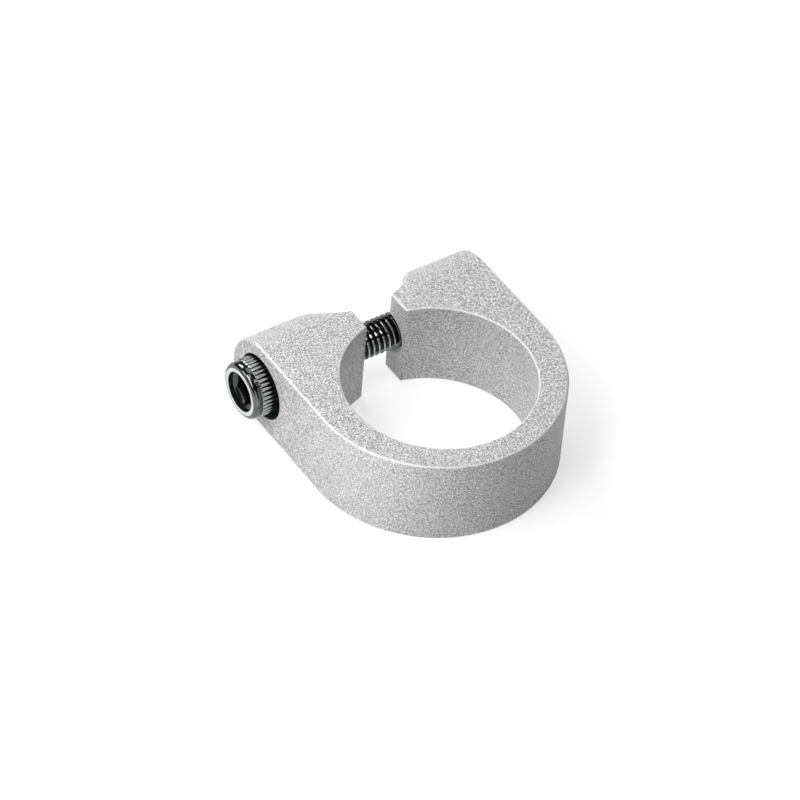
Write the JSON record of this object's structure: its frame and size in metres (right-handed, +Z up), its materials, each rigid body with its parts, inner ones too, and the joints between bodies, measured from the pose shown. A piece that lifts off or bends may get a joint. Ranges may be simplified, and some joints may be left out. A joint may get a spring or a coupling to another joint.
{
  "type": "seatpost clamp",
  "caption": "Split metal collar with two lugs and a socket head screw that closes it round a frame tube to hold the seatpost.",
  "frame": {"origin": "on the bore's axis, at the bottom face", "axes": "+Z up along the bore, +X along the screw from its head to its tip, +Y towards the slot at the back"},
  "size_m": [0.0463, 0.0474, 0.016],
  "materials": {
    "blasted_aluminium": "fine sand-blasted silver",
    "plated_steel": "bright plated steel"
  },
  "bodies": {
    "ring": {"clamp_ring": "blasted_aluminium"},
    "bolt": {"clamp_bolt": "plated_steel"}
  },
  "joints": [
    {"name": "bolt_turn", "type": "hinge", "parent": "ring", "child": "bolt", "pos_m": [0, 0.0196, 0.008], "axis": [1, 0, 0], "continuous": true}
  ]
}
